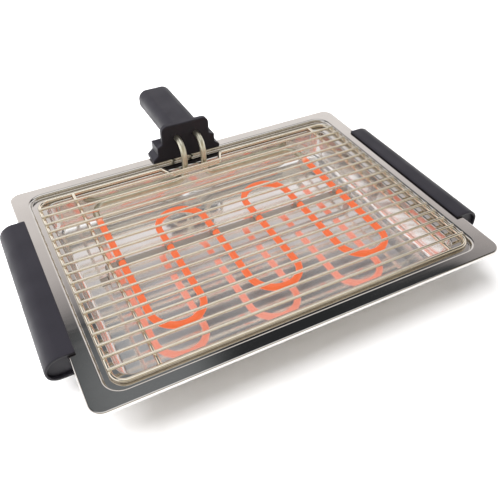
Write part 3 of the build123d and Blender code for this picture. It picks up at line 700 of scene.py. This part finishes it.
def side_handle(side):
    """The C-shaped wall along the handle's length, its ends rounded in plan and its edges eased,
    with a web across the C near each end."""
    low, high = corners("side_handle_right" if side > 0 else "side_handle_left")
    middle_y = (low[1] + high[1]) / 2
    half_length = (high[1] - low[1]) / 2
    corner_x = rim_half[0] + handle_reach - handle_corner

    def ring(end, share, inset):
        outline = wall_outline(inset)
        past = np.clip(outline[:, 0] - corner_x, 0, handle_corner - 0.01)
        reach = half_length - handle_corner + np.sqrt(handle_corner**2 - past**2)
        drawn_back = handle_edge * (1 - math.cos(math.asin(1 - inset / handle_edge)))
        y = middle_y + end * (reach * share - drawn_back)
        return np.column_stack([outline[:, 0], y, outline[:, 1]])

    insets = handle_edge * (1 - np.sin(np.linspace(0, QUARTER_TURN, 5)))
    rings = [ring(-1, 1.0, inset) for inset in insets]
    rings += [ring(-1, share, 0.0) for share in (0.97, 0.6, 0.2)]
    rings += [ring(1, share, 0.0) for share in (0.2, 0.6, 0.97)]
    rings += [ring(1, 1.0, inset) for inset in insets[::-1]]
    wall = loft(rings, strip_ends=True)

    line = handle_middle_line(rim_half[0] + web_gap)[0]
    webs = []
    for end in (-1, 1):
        rings = []
        for inset in (web_inset, web_inset + handle_wall):
            y = middle_y + end * (half_length - inset)
            rings.append(np.column_stack([line[:, 0], np.full(len(line), y), line[:, 1]]))
        webs.append(loft(rings))
    points, faces = joined(wall, *webs)
    return points * (side, 1, 1), faces


# ---------------------------------------------------------------- feet
def turned(profile, x, y, around=48):
    """A turned piece: the (radius, z) profile carried round an upright axis at (x, y), closed by
    its own start and end."""
    profile = np.asarray(profile, float)
    angle = np.arange(around) * 2 * HALF_TURN / around
    circle = np.stack([np.cos(angle), np.sin(angle)], axis=-1)
    flat = profile[:, None, 0, None] * circle[None]
    level = np.repeat(profile[:, 1][:, None, None], around, axis=1)
    return loft(np.concatenate([flat + (x, y), level], axis=-1), closed=True)


def foot(low, high):
    """A moulded foot: a tapered drum with an eased lower edge and the pocket for its nut."""
    x, y = (low[:2] + high[:2]) / 2
    height = high[2]
    top_radius = (high[0] - low[0]) / 2
    base_radius = 12.0
    ease = 2.0
    profile = [(2.7, height), (top_radius - 0.4, height), (top_radius, height - 0.4)]
    lower = arc((base_radius - ease, ease), ease, 0.1, -QUARTER_TURN, 6)
    profile += [tuple(spot) for spot in lower]
    profile += [(6.4, 0.0), (6.0, 0.4), (6.0, 8.0), (2.7, 8.0)]
    return turned(profile, x, y)


# ---------------------------------------------------------------- build
stainless = polished_stainless()
rolled = plain_stainless()
wire = plated_wire()
heater = element_steel()
black = phenolic()
zinc = small_metal("zinc_plated_steel", "#C9CCD0", "#A9ADB3", 0.3)
brass = small_metal("turned_brass", "#D9B25A", "#B98F3E", 0.28)
nichrome = small_metal("drawn_nichrome", "#8F8B85", "#726E69", 0.4)
magnesia = matt_solid("packed_magnesia", "#E9E6DE", "#D8D4C9", 0.85)
steatite = matt_solid("fired_steatite", "#EDE7D8", "#DED6C2", 0.45)
silicone = matt_solid("moulded_silicone", "#3A3A3E", "#2D2D31", 0.6)

finishes = {
    "polished_stainless": stainless,
    "plain_stainless": rolled,
    "plated_wire": wire,
    "element_steel": heater,
    "resistance_alloy": nichrome,
    "magnesia": magnesia,
    "steatite": steatite,
    "phenolic": black,
    "silicone": silicone,
    "zinc_steel": zinc,
    "brass": brass,
}
piece("pressed_tray", pressed_tray(), stainless, "tray_base", ["tray"], sharp=60)

random = np.random.default_rng(11)
frame_tube = tube(grate_frame_route(), frame_wire / 2, closed=True, reference=(0, 0, 1))
piece("grate_frame_wire", frame_tube, wire, "grate", ["grate_frame"])
for number in range(1, bar_count + 1):
    rod = tube(bar_route(number, random), bar_wire / 2, reference=(0, 0, 1), end_round=bar_end_round)
    piece(f"grate_bar_wire_{number:02d}", rod, wire, "grate", [f"grate_bar_{number:02d}"])
for word in ("left", "right"):
    low, high = corners(f"grate_support_{word}")
    x = (low[0] + high[0]) / 2
    route = [(x, y, frame_wire_z) for y in (low[1], (low[1] + high[1]) / 2, high[1])]
    rod = tube(route, (high[0] - low[0]) / 2, reference=(0, 0, 1))
    piece(f"grate_support_wire_{word}", rod, wire, "grate", [f"grate_support_{word}"])

sheath = tube(subdivided(element_route(), longest_run), tube_radius, around=20)
piece("heater_tube", sheath, heater, "heating_unit", ["element_sheath"])

for side, word in ((-1, "left"), (1, "right")):
    piece(
        f"moulded_handle_{word}",
        side_handle(side),
        black,
        "tray_base",
        [f"side_handle_{word}"],
    )
for place in ("front_left", "front_right", "rear_left", "rear_right"):
    drum = foot(*corners(f"foot_{place}"))
    piece(f"moulded_foot_{place}", drum, black, "tray_base", [f"foot_{place}"])

weld_beads = joined(*[bead(spot, weld_size) for spot in weld_places()])
piece("weld_beads", weld_beads, wire, "grate", [])

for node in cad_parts.values():
    for number, packed in enumerate(node.data.materials):
        for key, finish in finishes.items():
            if packed and key in packed.name:
                node.data.materials[number] = finish

for name, width in softer_edges.items():
    soften(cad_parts[name], width)


# ---------------------------------------------------------------- floor, light and camera
band_lean = 0.117
patch_direction = Vector((0.12, 0.60, 0.79)).normalized()
patch_edge = math.cos(math.radians(9.0))
patch_heart = math.cos(math.radians(1.0))


def studio():
    """Pale floor, one soft light, and a light tent all round: white low down and overhead, with a dark
    gap between that leans a little, and brownish in front."""
    floor_mesh = bpy.data.meshes.new("studio_floor")
    reach = 4.0
    square = [(-reach, -reach, 0), (reach, -reach, 0), (reach, reach, 0), (-reach, reach, 0)]
    floor_mesh.from_pydata(square, [], [(0, 1, 2, 3)])
    floor = bpy.data.objects.new("studio_floor", floor_mesh)
    bpy.context.scene.collection.objects.link(floor)
    material, tree, shader = new_material("matt_white_paper")
    shader.inputs["Roughness"].default_value = 0.9
    paper = noise(tree, 40.0, detail=2.0)
    tint = blend_colours(tree, paper, colour("#FBFBFC"), colour("#F8F8FA"))
    tree.links.new(tint, shader.inputs["Base Color"])
    floor_mesh.materials.append(material)
    floor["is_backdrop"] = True

    world = bpy.data.worlds.new("light_tent")
    bpy.context.scene.world = world
    world.use_nodes = True
    tree = world.node_tree
    background = tree.nodes["Background"]
    towards = add(tree, "ShaderNodeTexCoord").outputs["Generated"]
    split = add(tree, "ShaderNodeSeparateXYZ", {"Vector": towards})
    leaning = add(
        tree,
        "ShaderNodeMath",
        {0: split.outputs["X"], 1: band_lean, 2: split.outputs["Z"]},
        operation="MULTIPLY_ADD",
    )
    ramp = add(tree, "ShaderNodeValToRGB", {"Fac": leaning.outputs["Value"]})
    levels = (
        (0.0, "#FFFFFF"),
        (0.35, "#FFFFFF"),
        (0.55, "#FAF6F5"),
        (0.655, "#D0CBCA"),
        (0.708, "#959293"),
        (0.718, "#3C3E40"),
        (0.78, "#2E3032"),
        (0.865, "#343638"),
        (0.89, "#FFFFFF"),
        (1.0, "#FFFFFF"),
    )
    ramp.color_ramp.elements[0].color = colour(levels[0][1])
    ramp.color_ramp.elements[1].color = colour(levels[-1][1])
    for position, code in levels[1:-1]:
        stop = ramp.color_ramp.elements.new(position)
        stop.color = colour(code)
    ahead = between(tree, split.outputs["Y"], -0.25, -0.65, 0.0, 1.0, "SMOOTHSTEP")
    low_down = between(tree, split.outputs["Z"], 0.12, 0.3, 0.0, 1.0, "SMOOTHSTEP")
    not_top = between(tree, split.outputs["Z"], 0.72, 0.86, 1.0, 0.0, "SMOOTHSTEP")
    share = add(tree, "ShaderNodeMath", {0: ahead, 1: low_down}, operation="MULTIPLY").outputs["Value"]
    share = add(tree, "ShaderNodeMath", {0: share, 1: not_top}, operation="MULTIPLY").outputs["Value"]
    towards_patch = add(
        tree,
        "ShaderNodeVectorMath",
        {0: towards, 1: patch_direction},
        operation="DOT_PRODUCT",
    ).outputs["Value"]
    in_patch = between(tree, towards_patch, patch_edge, patch_heart, 0.0, 1.0, "SMOOTHSTEP")
    tent = blend_colours(tree, in_patch, ramp.outputs["Color"], colour("#7C8083"))
    sky = blend_colours(tree, share, tent, colour("#B1A792"))
    tree.links.new(sky, background.inputs["Color"])
    background.inputs["Strength"].default_value = 1.12

    lamp = bpy.data.lights.new("soft_box", "AREA")
    lamp.shape = "RECTANGLE"
    lamp.size = 1.8
    lamp.size_y = 1.6
    lamp.energy = 60.0
    light = bpy.data.objects.new("soft_box", lamp)
    light.location = (-0.7, 0.2, 1.5)
    light.visible_glossy = False
    light.rotation_euler = (Vector((0, 0, 0)) - Vector(light.location)).to_track_quat("-Z", "Y").to_euler()
    bpy.context.scene.collection.objects.link(light)


def camera():
    """A camera in front and to the left, looking down at the grill, rolled by half a degree."""
    place = Vector((-0.2496, -0.5607, 0.5129))
    heading = math.radians(27.09)
    down = math.radians(41.26)
    roll = math.radians(-0.535)
    level = math.cos(down)
    forward = Vector((math.sin(heading) * level, math.cos(heading) * level, -math.sin(down)))
    level_right = Vector((math.cos(heading), -math.sin(heading), 0))
    level_up = level_right.cross(forward)
    right = level_right * math.cos(roll) + level_up * math.sin(roll)
    up = -level_right * math.sin(roll) + level_up * math.cos(roll)
    data = bpy.data.cameras.new("camera")
    data.lens = 44.19
    data.sensor_width = 36.0
    made = bpy.data.objects.new("camera", data)
    turn = Matrix((right, up, -forward)).transposed()
    made.matrix_world = Matrix.Translation(place) @ turn.to_4x4()
    bpy.context.scene.collection.objects.link(made)
    bpy.context.scene.camera = made


studio()
camera()
bpy.context.scene.view_settings.view_transform = "Standard"

low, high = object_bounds()
